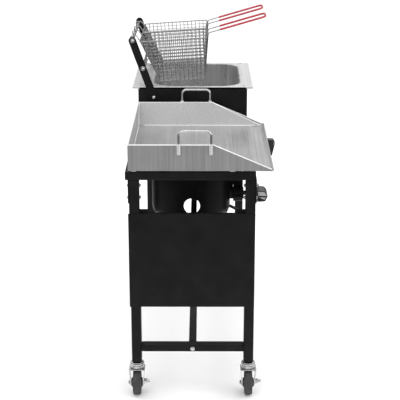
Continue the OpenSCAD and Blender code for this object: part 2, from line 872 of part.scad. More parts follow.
// Pedal on a barrel between the fork's lugs
module caster_brake(x, side) {
    color(bright) caster_place(x, side)
        translate([-caster_trail, -brake_y, brake_z]) difference() {
            union() {
                along_x([-7.5, 0, 0], 7, 15);
                for (tilt = [-14, 14])
                    rotate([tilt, 0, 0]) box([-6.5, -12.4, -0.8], [6.5, -2.4, 0.8]);
            }
            along_x([-11, 0, 0], 4 + 2 * running, 22);
        }
}

module caster_brake_near_front() { caster_brake(caster_near_x, -1); }
module caster_brake_near_back() { caster_brake(caster_near_x, 1); }
module caster_brake_far_front() { caster_brake(caster_far_x, -1); }
module caster_brake_far_back() { caster_brake(caster_far_x, 1); }

// ---- drawing ----

leg_near_front();
leg_near_back();
leg_far_front();
leg_far_back();
top_rail_front();
top_rail_back();
top_rail_near();
top_rail_far();
top_cross_bars();
lower_rail_near();
lower_rail_far();
lower_stretcher();
stretcher_bolts();
end_panel();
control_panel();
back_panel();
frame_bolts();
fryer_control_bracket();
griddle_burner_bowl();
fryer_burner_bowl();
griddle_burner();
fryer_burner();
burner_brackets();
griddle_air_shutter();
fryer_air_shutter();
griddle_valve();
fryer_valve();
gas_manifold();
gas_inlet();
fryer_cabinet();
fryer_tank();
tank_screws();
rack_arm_near();
rack_arm_far();
rack_rods();
rack_bolts();
griddle_pan();
griddle_handles();
basket_near_mesh();
basket_near_wires();
basket_near_grip();
basket_far_mesh();
basket_far_wires();
basket_far_grip();
griddle_knob();
fryer_knob();
knob_bezels();
caster_stems();
caster_fork_near_front();
caster_fork_near_back();
caster_fork_far_front();
caster_fork_far_back();
caster_wheel_near_front();
caster_wheel_near_back();
caster_wheel_far_front();
caster_wheel_far_back();
caster_brake_near_front();
caster_brake_near_back();
caster_brake_far_front();
caster_brake_far_back();
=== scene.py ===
"""Looks of the outdoor griddle and fryer cart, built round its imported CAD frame."""
import math

import bmesh
import bpy
from mathutils import Matrix, Vector


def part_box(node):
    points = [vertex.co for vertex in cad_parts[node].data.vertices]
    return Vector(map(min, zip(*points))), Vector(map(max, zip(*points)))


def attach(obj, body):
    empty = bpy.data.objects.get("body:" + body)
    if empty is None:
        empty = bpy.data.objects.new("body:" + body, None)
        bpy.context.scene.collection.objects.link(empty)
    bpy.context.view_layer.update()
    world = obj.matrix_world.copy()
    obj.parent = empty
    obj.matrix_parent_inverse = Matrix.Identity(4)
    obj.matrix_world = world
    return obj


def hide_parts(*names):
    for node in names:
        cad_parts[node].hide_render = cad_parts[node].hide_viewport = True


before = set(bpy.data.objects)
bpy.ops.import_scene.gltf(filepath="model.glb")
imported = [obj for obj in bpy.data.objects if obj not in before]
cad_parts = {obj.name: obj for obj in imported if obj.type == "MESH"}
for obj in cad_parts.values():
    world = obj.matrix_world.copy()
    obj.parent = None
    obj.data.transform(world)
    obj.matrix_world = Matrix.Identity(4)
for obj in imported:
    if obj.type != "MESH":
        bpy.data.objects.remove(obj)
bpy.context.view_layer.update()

# ---- the cart's own millimetres: x from the near legs, y from their middle, z from the floor ----
leg_low, leg_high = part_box("leg_near_front")
back_leg_low, back_leg_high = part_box("leg_near_back")
far_leg_low, far_leg_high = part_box("leg_far_front")
ORIGIN = Vector((leg_low.x, (leg_low.y + back_leg_high.y) / 2, 0))


def at(x, y, z):
    return ORIGIN + Vector((x, y, z)) / 1000


def mm_box(node):
    """Lowest and highest corner of a CAD node in the cart's millimetres."""
    low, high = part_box(node)
    return [(c - ORIGIN) * 1000 for c in (low, high)]


# ---- shapes ----

class Shape:
    """Collects forms given in the cart's millimetres into one mesh. turn is applied to what is added next."""

    def __init__(self, turn=None):
        self.bm = bmesh.new()
        self.turn = turn or Matrix.Identity(4)

    def point(self, p):
        x, y, z = self.turn @ Vector(p)
        return self.bm.verts.new(at(x, y, z))

    def bevel(self, faces, r, steps):
        if r:
            edges = {e for f in faces for e in f.edges}
            sharp = [e for e in edges if len(e.link_faces) == 2 and e.calc_face_angle(0) > 0.5]
            bmesh.ops.bevel(self.bm, geom=sharp, offset=r / 1000, segments=steps, profile=0.5,
                            affect="EDGES", clamp_overlap=True)

    def prism(self, outline, push, r=0.0, steps=2):
        """A flat outline pushed along a vector, with its edges rounded."""
        push = Vector(push)
        near = [self.point(p) for p in outline]
        far = [self.point(Vector(p) + push) for p in outline]
        n = len(outline)
        faces = [self.bm.faces.new(near), self.bm.faces.new(far[::-1])]
        for i in range(n):
            j = (i + 1) % n
            faces.append(self.bm.faces.new((near[j], near[i], far[i], far[j])))
        self.bm.normal_update()
        self.bevel(faces, r, steps)

    def box(self, low, high, r=0.0, steps=2):
        (x0, y0, z0), (x1, y1, z1) = low, high
        self.prism([(x0, y0, z0), (x1, y0, z0), (x1, y1, z0), (x0, y1, z0)], (0, 0, z1 - z0), r, steps)

    def skin(self, loops, cap_first=True, cap_last=True):
        """Quads between loops of equally many points. A loop of one point closes to a tip."""
        rings = [[self.point(p) for p in loop] for loop in loops]
        for a, b in zip(rings, rings[1:]):
            n = max(len(a), len(b))
            for i in range(n):
                j = (i + 1) % n
                corners = [a[i % len(a)], a[j % len(a)], b[j % len(b)], b[i % len(b)]]
                unique = list(dict.fromkeys(corners))
                self.bm.faces.new(unique)
        if cap_first and len(rings[0]) > 2:
            self.bm.faces.new(rings[0][::-1])
        if cap_last and len(rings[-1]) > 2:
            self.bm.faces.new(rings[-1])

    def lathe(self, origin, axis, profile, sides=32, closed=False):
        """Turned form: profile is a list of (distance along the axis, radius)."""
        origin, axis = Vector(origin), Vector(axis).normalized()
        u = axis.orthogonal().normalized()
        v = axis.cross(u)
        loops = []
        for t, r in profile:
            centre = origin + axis * t
            if r < 1e-6:
                loops.append([centre])
                continue
            turn = [2 * math.pi * k / sides for k in range(sides)]
            loops.append([centre + (u * math.cos(a) + v * math.sin(a)) * r for a in turn])
        if closed:
            loops.append(loops[0])
            rings = [[self.point(p) for p in loop] for loop in loops[:-1]]
            rings.append(rings[0])
            for a, b in zip(rings, rings[1:]):
                for i in range(sides):
                    j = (i + 1) % sides
                    self.bm.faces.new((a[i], a[j], b[j], b[i]))
        else:
            self.skin(loops)

    def tube(self, points, d, sides=10, closed=False):
        """Round wire of diameter d along a line of points."""
        pts = [Vector(p) for p in points]
        n = len(pts)
        ways = []
        for i in range(n):
            before = pts[i - 1] if closed or i > 0 else pts[i]
            after = pts[(i + 1) % n] if closed or i < n - 1 else pts[i]
            ways.append((after - before).normalized())
        u = ways[0].orthogonal().normalized()
        loops = []
        for p, way in zip(pts, ways):
            u = (u - way * u.dot(way)).normalized()
            v = way.cross(u)
            turn = [2 * math.pi * k / sides for k in range(sides)]
            loops.append([p + (u * math.cos(a) + v * math.sin(a)) * d / 2 for a in turn])
        if closed:
            rings = [[self.point(p) for p in loop] for loop in loops]
            twist = min(range(sides), key=lambda k: (rings[0][k].co - rings[-1][0].co).length)
            rings.append(rings[0][twist:] + rings[0][:twist])
            for a, b in zip(rings, rings[1:]):
                for i in range(sides):
                    j = (i + 1) % sides
                    self.bm.faces.new((a[i], a[j], b[j], b[i]))
        else:
            self.skin(loops)

    def done(self, name, material, body="cart", stands_for=(), thickness=0.0, smooth=0.6):
        """Makes the object, with smooth faces that break at sharp edges."""
        bmesh.ops.recalc_face_normals(self.bm, faces=self.bm.faces)
        for f in self.bm.faces:
            f.smooth = True
        for e in self.bm.edges:
            if len(e.link_faces) == 2 and e.calc_face_angle(0) > smooth:
                e.smooth = False
        data = bpy.data.meshes.new(name)
        self.bm.to_mesh(data)
        self.bm.free()
        obj = bpy.data.objects.new(name, data)
        bpy.context.scene.collection.objects.link(obj)
        data.materials.append(material)
        if thickness:
            solid = obj.modifiers.new("sheet", "SOLIDIFY")
            solid.thickness = thickness / 1000
            solid.offset = -1
        weighted = obj.modifiers.new("normals", "WEIGHTED_NORMAL")
        weighted.keep_sharp = True
        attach(obj, body)
        if stands_for:
            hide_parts(*stands_for)
        return obj


def rounded(points, r, steps=6, closed=False):
    """The same line with its corners turned into arcs of radius r."""
    pts = [Vector(p) for p in points]
    n = len(pts)
    out = []
    for i, p in enumerate(pts):
        if not closed and i in (0, n - 1):
            out.append(p)
            continue
        a, b = pts[i - 1] - p, pts[(i + 1) % n] - p
        angle = a.angle(b)
        if angle > math.pi - 0.01:
            out.append(p)
            continue
        cut = min(r / math.tan(angle / 2), 0.49 * a.length, 0.49 * b.length)
        real = cut * math.tan(angle / 2)
        start, end = p + a.normalized() * cut, p + b.normalized() * cut
        centre = p + (a.normalized() + b.normalized()).normalized() * (real / math.sin(angle / 2))
        u, v = (start - centre).normalized(), (end - centre).normalized()
        sweep = u.angle(v)
        for k in range(steps + 1):
            t = k / steps
            way = (u * math.sin((1 - t) * sweep) + v * math.sin(t * sweep)) / math.sin(sweep)
            out.append(centre + way * real)
    return out


def rounded_rectangle(x0, y0, x1, y1, z, r, steps=6):
    loop = []
    for cx, cy, start in ((x1 - r, y1 - r, 0), (x0 + r, y1 - r, 90), (x0 + r, y0 + r, 180),
                          (x1 - r, y0 + r, 270)):
        for k in range(steps + 1):
            a = math.radians(start + 90 * k / steps)
            loop.append((cx + r * math.cos(a), cy + r * math.sin(a), z))
    return loop


# ---- materials ----

class Nodes:
    """A material's node tree, with the object's own coordinates to hang textures on."""

    def __init__(self, name):
        self.material = bpy.data.materials.new(name)
        self.material.use_nodes = True
        self.tree = self.material.node_tree
        self.tree.nodes.clear()
        self.out = self.add("ShaderNodeOutputMaterial")
        self.shader = self.add("ShaderNodeBsdfPrincipled")
        self.join(self.shader.outputs[0], self.out.inputs[0])
        self.place = self.add("ShaderNodeTexCoord").outputs["Object"]

    def add(self, kind, **settings):
        node = self.tree.nodes.new(kind)
        for k, v in settings.items():
            setattr(node, k, v)
        return node

    def join(self, a, b):
        self.tree.links.new(a, b)

    def noise(self, size_mm, detail=3.0, stretch=(1, 1, 1), rough=0.5):
        """Noise whose features are about size_mm wide, drawn out by stretch."""
        mapping = self.add("ShaderNodeMapping")
        mapping.inputs["Scale"].default_value = [1 / s for s in stretch]
        self.join(self.place, mapping.inputs["Vector"])
        noise = self.add("ShaderNodeTexNoise")
        noise.inputs["Scale"].default_value = 1000 / size_mm
        noise.inputs["Detail"].default_value = detail
        noise.inputs["Roughness"].default_value = rough
        self.join(mapping.outputs[0], noise.inputs["Vector"])
        return noise.outputs[0]

    def ramp(self, value, low, high, start=0.3, end=0.7):
        """Maps a value between start and end to numbers between low and high."""
        node = self.add("ShaderNodeMapRange")
        node.inputs["From Min"].default_value = start
        node.inputs["From Max"].default_value = end
        node.inputs["To Min"].default_value = low
        node.inputs["To Max"].default_value = high
        self.join(value, node.inputs["Value"])
        return node.outputs[0]

    def mix(self, factor, a, b):
        node = self.add("ShaderNodeMix", data_type="RGBA")
        for value, socket in ((factor, node.inputs[0]), (a, node.inputs[6]), (b, node.inputs[7])):
            if isinstance(value, bpy.types.NodeSocket):
                self.join(value, socket)
            elif isinstance(value, (int, float)):
                socket.default_value = value
            else:
                socket.default_value = (*value, 1)
        return node.outputs[2]

    def maths(self, kind, a, b):
        node = self.add("ShaderNodeMath", operation=kind)
        for value, socket in ((a, node.inputs[0]), (b, node.inputs[1])):
            if isinstance(value, bpy.types.NodeSocket):
                self.join(value, socket)
            else:
                socket.default_value = value
        return node.outputs[0]

    def colour(self, value):
        self.feed("Base Color", value)

    def feed(self, name, value):
        socket = self.shader.inputs[name]
        if isinstance(value, bpy.types.NodeSocket):
            self.join(value, socket)
        elif isinstance(value, (int, float)):
            socket.default_value = value
        else:
            socket.default_value = (*value, 1)

    def bump(self, height, depth_mm, strength=1.0):
        node = self.add("ShaderNodeBump")
        node.inputs["Strength"].default_value = strength
        node.inputs["Distance"].default_value = depth_mm / 1000
        self.join(height, node.inputs["Height"])
        self.join(node.outputs[0], self.shader.inputs["Normal"])


def powder_coat(name, dark, light, rough, shine=0.13):
    """Satin black powder coat: fine orange peel, faint cloudiness and a little dust."""
    n = Nodes(name)
    cloud = n.noise(70, 4)
    n.colour(n.mix(n.ramp(cloud, 0, 1), dark, light))
    n.feed("Roughness", n.ramp(n.noise(25, 3), rough - 0.05, rough + 0.06))
    n.feed("Specular IOR Level", shine)
    n.bump(n.noise(1.6, 2), 0.05, 0.5)
    return n.material


def brushed_steel(name, dark, light, rough, along, fine=0.5, scatter=0.0):
    """Stainless sheet brushed along one axis: hair lines in the colour, gloss and height."""
    n = Nodes(name)
    stretch = [1.0, 1.0, 1.0]
    stretch["xyz".index(along)] = 260.0
    lines = n.noise(fine, 3, stretch)
    coarse = n.noise(fine * 6, 3, stretch)
    cloud = n.noise(110, 3)
    hair = n.maths("ADD", n.maths("MULTIPLY", lines, 0.6), n.maths("MULTIPLY", coarse, 0.4))
    both = n.maths("ADD", n.maths("MULTIPLY", hair, 0.8), n.maths("MULTIPLY", cloud, 0.2))
    n.colour(n.mix(n.ramp(both, 0, 1, 0.38, 0.62), dark, light))
    n.feed("Metallic", 1.0 - scatter)
    n.feed("Roughness", n.ramp(hair, rough - 0.07, rough + 0.09, 0.38, 0.62))
    n.bump(hair, 0.012, 0.35)
    return n.material


def bright_metal(name, dark, light, rough, spot_mm=14):
    """Plated or polished metal with faint smears and fine scratches."""
    n = Nodes(name)
    smear = n.noise(spot_mm, 4)
    n.colour(n.mix(n.ramp(smear, 0, 1), dark, light))
    n.feed("Metallic", 1.0)
    n.feed("Roughness", n.ramp(n.noise(spot_mm / 3, 4), rough - 0.04, rough + 0.08))
    n.bump(n.noise(2.5, 3), 0.02, 0.3)
    return n.material


def rubber(name, dark, light, rough, grain_mm=1.2, dusty=0.35):
    n = Nodes(name)
    dust = n.ramp(n.noise(18, 5), 0, dusty, 0.45, 0.75)
    base = n.mix(n.ramp(n.noise(9, 3), 0, 1), dark, light)
    n.colour(n.mix(dust, base, [c * 1.8 + 0.01 for c in light]))
    n.feed("Roughness", n.ramp(n.noise(6, 3), rough - 0.06, rough + 0.08))
    n.bump(n.noise(grain_mm, 3), 0.08, 0.5)
    return n.material


def plastic(name, dark, light, rough, grain_mm=0.8):
    n = Nodes(name)
    n.colour(n.mix(n.ramp(n.noise(12, 3), 0, 1), dark, light))
    n.feed("Roughness", n.ramp(n.noise(8, 3), rough - 0.04, rough + 0.06))
    n.feed("Coat Weight", 0.25)
    n.feed("Coat Roughness", 0.2)
    n.bump(n.noise(grain_mm, 2), 0.03, 0.4)
    return n.material


BLACK = powder_coat("powder_black", (0.005, 0.005, 0.0055), (0.009, 0.009, 0.0095), 0.45)
BOWL_BLACK = powder_coat("bowl_black", (0.004, 0.004, 0.0045), (0.008, 0.008, 0.009), 0.34)
CAST = powder_coat("cast_iron", (0.012, 0.012, 0.013), (0.028, 0.026, 0.025), 0.6)
PAN_WALL = brushed_steel("brushed_upright", (0.28, 0.28, 0.283), (0.42, 0.42, 0.423), 0.4, "z", 0.9, 0.35)
PAN_FLOOR = brushed_steel("brushed_lengthways", (0.34, 0.34, 0.343), (0.50, 0.50, 0.503), 0.34, "x", 0.8,
                          0.4)
# Painted light: a lighter copy of the upright wall steel, for the far and back walls whose inside faces catch
# more light.
LIT_WALL_STEEL = brushed_steel("brushed_wall_lit_copy", (0.40, 0.40, 0.403), (0.55, 0.55, 0.553), 0.36, "z", 0.9, 0.4)
# Painted reflection: the tank steel's colour runs in broad upright light and dark streaks that stand in for
# reflections on its walls.
TANK = brushed_steel("tank_painted_reflection_streaks", (0.42, 0.42, 0.423), (0.66, 0.66, 0.663), 0.26, "z", 16, 0.25)
FLANGE = brushed_steel("flange_steel", (0.70, 0.70, 0.703), (0.80, 0.80, 0.803), 0.34, "x", 0.8, 0.3)
CHROME = bright_metal("chrome", (0.58, 0.58, 0.59), (0.74, 0.74, 0.75), 0.1)
WIRE = bright_metal("nickel_wire", (0.26, 0.26, 0.265), (0.46, 0.46, 0.465), 0.24, 6)
ZINC = bright_metal("zinc_plate", (0.40, 0.40, 0.405), (0.62, 0.62, 0.625), 0.17, 7)
BRASS = bright_metal("brass", (0.55, 0.40, 0.16), (0.72, 0.55, 0.25), 0.28, 8)
PIPE = bright_metal("gas_tube", (0.05, 0.05, 0.052), (0.10, 0.10, 0.105), 0.42, 10)
RUBBER = rubber("wheel_rubber", (0.020, 0.020, 0.021), (0.032, 0.032, 0.033), 0.62)
VINYL = rubber("red_vinyl", (0.33, 0.020, 0.034), (0.43, 0.028, 0.046), 0.38, 3.0, 0.05)
KNOB = plastic("knob_black", (0.006, 0.006, 0.0065), (0.012, 0.012, 0.013), 0.3)
# Painted highlight: light grey plates on the griddle knob's ends.
KNOB_HIGHLIGHT = plastic("knob_painted_highlight", (0.34, 0.34, 0.35), (0.46, 0.46, 0.47), 0.4)
WELD = bright_metal("weld", (0.30, 0.30, 0.31), (0.55, 0.54, 0.52), 0.42, 3)
# Painted highlight: near-white steel for the bright lines along the pan's edges and seams, also used for the
# pads under the pan.
PALE_HIGHLIGHT_STEEL = brushed_steel("pale_steel_painted_highlight", (0.86, 0.86, 0.86), (0.95, 0.95, 0.95), 0.34, "x", 5, 0.5)
STUB = brushed_steel("handle_stub", (0.60, 0.60, 0.605), (0.78, 0.78, 0.785), 0.3, "z", 3, 0.5)

# ---- frame ----

TUBE_CORNER = 2.6
legs = [f"leg_{end}_{side}" for end in ("near", "far") for side in ("front", "back")]
rails = ["top_rail_front", "top_rail_back", "top_rail_near", "top_rail_far",
         "lower_rail_near", "lower_rail_far", "lower_stretcher"]
for node in legs + rails:
    shape = Shape()
    shape.box(*mm_box(node), TUBE_CORNER, 3)
    shape.done(node + "_tube", BLACK, "cart", [node])


def end_panel():
    low, high = mm_box("end_panel")
    leg_in = -mm_box("leg_near_front")[1].y
    top = 629.0
    shape = Shape()
    shape.box((low.x, low.y, low.z), (0, high.y, top), 0.9, 3)
    for z in (low.z + 0.01, top - 2.01):
        shape.box((-0.4, -leg_in, z), (12, leg_in, z + 2), 0.5)
    for y in (-leg_in, leg_in - 27):
        shape.box((10, y, top - 2), (12, y + 27, top + 12), 0.6)
    shape.done("end_panel_sheet", BLACK, "cart", ["end_panel"])


end_panel()

DOME = [(0, 1.0), (0.25, 0.98), (0.55, 0.86), (0.8, 0.62), (0.95, 0.33), (1.0, 0.0)]


def dome_head(shape, place, axis, r, height, washer=0.0):
    """Button head with a shallow socket, on a washer."""
    axis = Vector(axis)
    start = Vector(place)
    if washer:
        shape.lathe(start, axis, [(0, 0), (0, washer - 0.4), (0.4, washer), (1.1, washer),
                                  (1.5, washer - 0.4), (1.5, 0)])
        start = start + axis * 1.4
    socket = 0.45 * r
    outer = [(height * t, r * s) for t, s in DOME if s * r > socket]
    shape.lathe(start, axis, [(0, 0)] + outer + [(height * 0.97, socket), (height * 0.4, socket * 0.9),
                                                 (height * 0.4, 0)], 24)


def hex_nut(shape, place, axis, across, height):
    """Chamfered hexagonal nut or head."""
    axis = Vector(axis).normalized()
    u = axis.orthogonal().normalized()
    v = axis.cross(u)
    r = across / math.sqrt(3)
    loops = []
    for t, s in ((0, 0.93), (0.12, 1.0), (0.85, 1.0), (1.0, 0.9)):
        turn = [math.radians(60 * k + 30) for k in range(6)]
        loops.append([Vector(place) + axis * height * t + (u * math.cos(a) + v * math.sin(a)) * r * s
                      for a in turn])
    shape.skin(loops)


def frame_bolts():
    length = mm_box("leg_far_front")[1].x
    half = -mm_box("leg_near_front")[0].y
    leg_in = -mm_box("leg_near_front")[1].y
    plate = 3.0
    shape = Shape()
    for x in (19, length - 19):
        for z in (677, 717):
            for side in (-1, 1):
                dome_head(shape, (x, side * (half + plate), z), (0, side, 0), 5.6, 3.6)
                shape.lathe((x, side * (half + plate), z), (0, -side, 0),
                            [(0, 0), (0, 3), (40.5, 3), (41, 2.4), (41, 0)], 12)
                hex_nut(shape, (x, side * leg_in, z), (0, -side, 0), 10, 4.8)
    shape.done("frame_bolts_set", ZINC, "cart", ["frame_bolts"])


frame_bolts()


def stretcher_bolts():
    length = mm_box("leg_far_front")[1].x
    z = (mm_box("lower_stretcher")[0].z + mm_box("lower_stretcher")[1].z) / 2
    shape = Shape()
    for x, way in ((0, 1), (length, -1)):
        shape.lathe((x, 0, z), (-way, 0, 0), [(0, 0), (0, 6.8), (0.6, 7.3), (1.4, 7.3), (1.6, 6.8),
                                              (1.6, 0)])
        hex_nut(shape, (x - 1.5 * way, 0, z), (-way, 0, 0), 9, 3.4)
        shape.lathe((x, 0, z), (way, 0, 0), [(0, 0), (0, 4), (54, 4), (54, 0)], 16)
        hex_nut(shape, (x + 46 * way, 0, z), (way, 0, 0), 13, 6)
    shape.done("stretcher_bolts_set", ZINC, "cart", ["stretcher_bolts"])


stretcher_bolts()

# ---- fryer ----

FLANGE_TOP = mm_box("fryer_tank")[1].z


def fryer_cabinet():
    low, high = mm_box("fryer_cabinet")
    loops = [rounded_rectangle(low.x, low.y, high.x, high.y, z, 3.5, 4) for z in (low.z, high.z)]
    shape = Shape()
    shape.skin(loops, False, False)
    shape.done("fryer_cabinet_shell", BLACK, "cart", ["fryer_cabinet"], thickness=2)


fryer_cabinet()


def fryer_tank():
    low, high = mm_box("fryer_tank")
    top = FLANGE_TOP
    x0, x1, y0, y1, radius = 650.0, 1091.0, -168.0, 145.0, 75.0
    steps = 10

    def opening(grow, z):
        return rounded_rectangle(x0 - grow, y0 - grow, x1 + grow, y1 + grow, z, radius + grow, steps)

    rim = [rounded_rectangle(low.x + inset, low.y + inset, high.x - inset, high.y - inset, top - drop,
                             2.5 - 0.6 * inset, steps)
           for inset, drop in ((0, 7), (0, 1.6), (0.5, 0.5), (1.6, 0))]
    shape = Shape()
    shape.skin(rim + [opening(5, top), opening(4.6, top)], False, False)
    shape.done("fryer_flange", FLANGE, "cart", ["fryer_tank"], thickness=1.6)
    roll = [opening(4.5 * (1 - math.sin(math.radians(a))), top - 4.5 * (1 - math.cos(math.radians(a))))
            for a in range(0, 91, 15)]
    depth = 157.0
    fillet = 22.0
    floor = top - depth + 2
    walls = [opening(0, floor + fillet)]
    curve = [opening(-fillet * (1 - math.cos(math.radians(a))),
                     floor + fillet * (1 - math.sin(math.radians(a))))
             for a in range(15, 91, 15)]
    # Tank bowl in the steel with painted upright reflection streaks.
    shape = Shape()
    shape.skin(roll + walls + curve, False, True)
    shape.done("fryer_tank_bowl", TANK, "cart", [], thickness=1.6)


fryer_tank()


def tank_screws():
    low, high = mm_box("tank_screws")
    shape = Shape()
    for x in (low.x + 5.5, high.x - 5.5):
        for y in (low.y + 5.5, high.y - 5.5):
            dome_head(shape, (x, y, FLANGE_TOP), (0, 0, 1), 5.4, 2.4)
    shape.done("tank_screws_set", ZINC, "cart", ["tank_screws"])


tank_screws()

ROD_D = 10.0
RACK = {"low": (146.0, 867.0), "mid": (183.7, 972.0), "top": (220.0, 1073.0)}


def rack_arm(node):
    low, high = mm_box(node)
    start, end = Vector((0, *RACK["low"])), Vector((0, *RACK["top"]))
    way = (end - start).normalized()
    across = Vector((0, way.z, -way.y))
    r = 13.75
    outline = []
    for centre, base in ((end, 0), (start, 180)):
        for k in range(13):
            a = math.radians(base + 15 * k)
            p = centre + (across * math.cos(a) + way * math.sin(a)) * r
            outline.append((low.x, p.y, p.z))
    shape = Shape()
    shape.prism(outline, (high.x - low.x, 0, 0), 0.8)
    shape.done(node + "_bar", BLACK, "cart", [node])


rack_arm("rack_arm_near")
rack_arm("rack_arm_far")


def rack_rods_and_bolts():
    near, far = mm_box("rack_arm_near"), mm_box("rack_arm_far")
    shape = Shape()
    for key in ("mid", "top"):
        y, z = RACK[key]
        shape.lathe((near[1].x, y, z), (1, 0, 0),
                    [(0, 0), (0, ROD_D / 2), (far[0].x - near[1].x, ROD_D / 2), (far[0].x - near[1].x, 0)])
    shape.done("rack_rods_pair", CHROME, "cart", ["rack_rods"])
    shape = Shape()
    for x, way in ((near[0].x, -1), (far[1].x, 1)):
        for key in ("mid", "top"):
            dome_head(shape, (x, *RACK[key]), (way, 0, 0), 5.6, 4.2, 8.5)
        dome_head(shape, (x, *RACK["low"]), (way, 0, 0), 6.0, 4.0)
        inside = x - 6 * way
        shape.lathe((x, *RACK["low"]), (-way, 0, 0), [(0, 0), (0, 3), (14, 3), (14, 0)], 12)
        hex_nut(shape, (inside, *RACK["low"]), (-way, 0, 0), 10, 5)
    shape.done("rack_bolts_set", CHROME, "cart", ["rack_bolts"])


rack_rods_and_bolts()

# ---- griddle ----

PAN_LOW, PAN_HIGH = mm_box("griddle_pan")
WALL = 3.0
SPLASH_FOOT = 42.0
SLOPE_TOP_Y = -67
LIP_Y = -252


def griddle_pan():
    x0, x1 = PAN_LOW.x, PAN_HIGH.x
    rest = 772.0
    top = PAN_HIGH.z
    back = PAN_HIGH.y
    floor_top, low = 780.0, 775.0
    side = [(back, rest), (back, top), (SLOPE_TOP_Y, top), (-248, rest + 5), (-248, rest)]
    shape = Shape()
    shape.prism([(x0, y, z) for y, z in side], (WALL, 0, 0), 0.7)
    shape.done("griddle_near_wall", PAN_WALL, "griddle", ["griddle_pan"])
    # The far wall takes the lighter copy of the wall steel: painted light on its inside face.
    shape = Shape()
    shape.prism([(x1 - WALL, y, z) for y, z in side], (WALL, 0, 0), 0.7)
    shape.done("griddle_far_wall", LIT_WALL_STEEL, "griddle", [])
    # Near-white tubes along the walls' top edges: a painted highlight.
    shape = Shape()
    for x in (x0 + WALL / 2, x1 - WALL / 2):
        shape.tube([(x, back, top), (x, SLOPE_TOP_Y, top), (x, -249, rest + 5)], 3.4, 8)
    shape.tube([(x0, back - WALL / 2, top), (x1, back - WALL / 2, top)], 3.4, 8)
    shape.done("griddle_top_edges", PALE_HIGHLIGHT_STEEL, "griddle", [])
    # The back wall takes the same lighter copy: painted light.
    shape = Shape()
    shape.box((x0 + WALL - 0.5, back - WALL, rest), (x1 - WALL + 0.5, back, top), 0.7)
    shape.done("griddle_back_wall", LIT_WALL_STEEL, "griddle", [])
    foot = x1 - SPLASH_FOOT
    inner = x1 - WALL
    shape = Shape()
    shape.prism([(foot, -240, floor_top), (foot, back - 1, floor_top), (inner, back - 1, top),
                 (inner, SLOPE_TOP_Y, top)], (-0.9, 0, 0.45))
    shape.done("griddle_splash", PAN_FLOOR, "griddle", [])
    trough = [(0, back - 1, floor_top), (0, -204, floor_top), (0, -213, floor_top - 3.6),
              (0, -224, floor_top - 5),
              (0, -238, floor_top - 5), (0, -246, floor_top - 3), (0, LIP_Y, floor_top - 0.2)]
    upper = rounded(trough, 6)
    under = [(0, LIP_Y, low - 4), (0, -216, low - 4), (0, -206, low), (0, back - 1, low)]
    outline = [(x0 + 1, p[1], p[2]) for p in [*upper, *under]]
    shape = Shape()
    shape.prism(outline, (x1 - x0 - 2, 0, 0))
    shape.done("griddle_floor", PAN_FLOOR, "griddle", [], smooth=0.35)
    shape = Shape()
    shape.lathe((x0, LIP_Y, floor_top - 3.5), (1, 0, 0),
                [(0, 0), (0.2, 2.8), (0.8, 3.5), (x1 - x0 - 0.8, 3.5), (x1 - x0 - 0.2, 2.8),
                 (x1 - x0, 0)], 20)
    shape.done("griddle_lip", PAN_FLOOR, "griddle", [])
    # Weld seams at the joints in near-white steel: a real seam with a painted highlight.
    shape = Shape()
    shape.tube([(foot, -240, floor_top), (inner, SLOPE_TOP_Y, top)], 3.0, 8)
    for x, head in ((x0 + WALL + 0.6, x0 + WALL + 0.6), (foot - 1, inner - 1)):
        shape.tube([(x, y, floor_top + 0.5) for y in range(-220, int(back) - 3, 20)], 3.0, 8)
        shape.tube([(x, back - WALL - 0.6, floor_top), (head, back - WALL - 0.6, top - 1)], 2.4, 8)
    shape.tube([(x, back - WALL - 0.6, floor_top + 0.5) for x in range(int(x0) + 4, int(foot), 25)], 3.0, 8)
    shape.done("griddle_welds", PALE_HIGHLIGHT_STEEL, "griddle", [])
    # Pads between the rails and the pan, in the same near-white painted-highlight steel.
    shape = Shape()
    for x in (0, 575):
        for y in (-135, 176):
            shape.box((x, y, 767.05), (x + 18, y + 16, low + 0.01), 0.6)
        shape.lathe((x + 9, -157, 767.05), (0, 0, 1),
                    [(0, 0), (0, 4.6), (2.6, 4.6), (3.4, 3.6), (3.4, 0)], 20)
    shape.done("griddle_pads", PALE_HIGHLIGHT_STEEL, "griddle", [])


griddle_pan()


def griddle_handles():
    low, high = mm_box("griddle_handles")
    top = high.z - 4
    y0, y1 = low.y + 6, high.y - 6
    shape = Shape()
    for x in (low.x + 6, high.x - 6):
        line = [(x, y0, 855), (x, y0, top), (x, y1, top), (x, y1, 855)]
        shape.tube(rounded(line, 16, 10), 8, 16)
    shape.done("griddle_handles_rods", CHROME, "griddle", ["griddle_handles"])
    shape = Shape()
    for x in (low.x + 6, high.x - 6):
        for y in (y0, y1):
            shape.lathe((x, y, 826), (0, 0, 1),
                        [(0, 0), (0.0, 5.0), (0.9, 6), (33.1, 6), (34, 5.2), (34, 0)], 24)
    shape.done("griddle_handle_stubs", STUB, "griddle", [])
    shape = Shape()
    for x, way in ((low.x + 6, 1), (high.x - 6, -1)):
        for y in (y0, y1):
            for s in (-1, 1):
                shape.tube([(x + 4.6 * way, y + 4.0 * s, z) for z in range(828, 856, 5)], 3.2, 8)
    shape.done("griddle_handle_welds", WELD, "griddle", [])


griddle_handles()

# ---- baskets ----

BASKET = {"width": 208.0, "length": 243.0, "depth": 148.0, "back_in": 61.0, "front_in": 17.0}
RIM_BACK = (195.0, 1064.5)
TILT, RISE = math.radians(3.8), math.radians(16.1 - 3.8)
MESH_D, FRAME_D, GRIP_D = 2.2, 4.0, 7.4
HANDLE_GAP, HANDLE_ROOT, BARE, HANDLE, HANDLE_CORNER = 88.0, 248.2, 44.0, 217.0, 18.0


